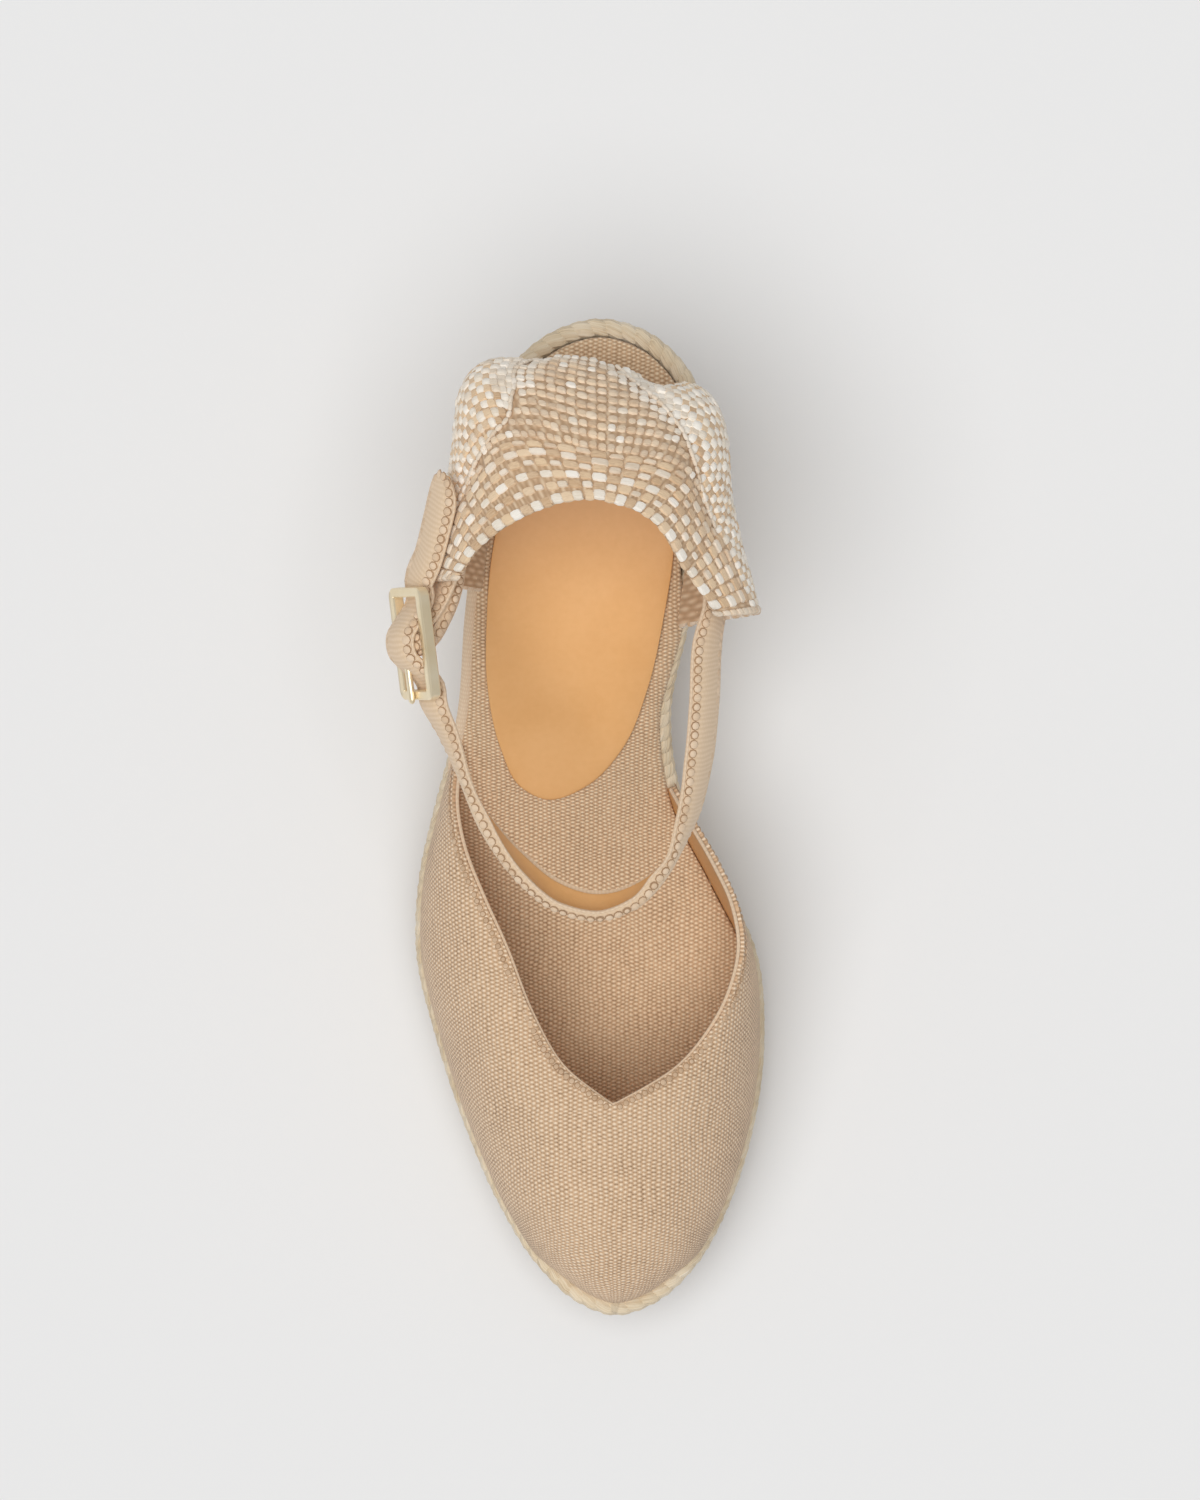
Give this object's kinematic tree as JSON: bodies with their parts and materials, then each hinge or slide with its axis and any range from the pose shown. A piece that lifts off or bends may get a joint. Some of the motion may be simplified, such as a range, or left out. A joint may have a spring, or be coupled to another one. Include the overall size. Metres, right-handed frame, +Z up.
{
  "type": "wedge espadrille",
  "caption": "Right-foot wedge espadrille: closed canvas toe, jute-braid wedge, woven heel band and buckled ankle strap.",
  "frame": {"origin": "on the floor under the waist of the sole", "axes": "+Z up, toe towards -Y, heel towards +Y, inner side of the foot towards +X"},
  "size_m": [0.0874, 0.2318, 0.134],
  "materials": {
    "outsole_rubber": "matte",
    "jute": "matte",
    "canvas": "matte",
    "woven_band": "matte",
    "leather": "satin",
    "pale_gold_metal": "polished"
  },
  "bodies": {
    "root": {"outsole": "outsole_rubber", "jute_wedge": "jute", "rim_braid": "jute", "insole": "canvas", "heel_pad": "leather", "vamp": "canvas", "heel_band": "woven_band", "ankle_strap": "canvas", "buckle_frame": "pale_gold_metal", "buckle_prong": "pale_gold_metal"}
  },
  "joints": []
}
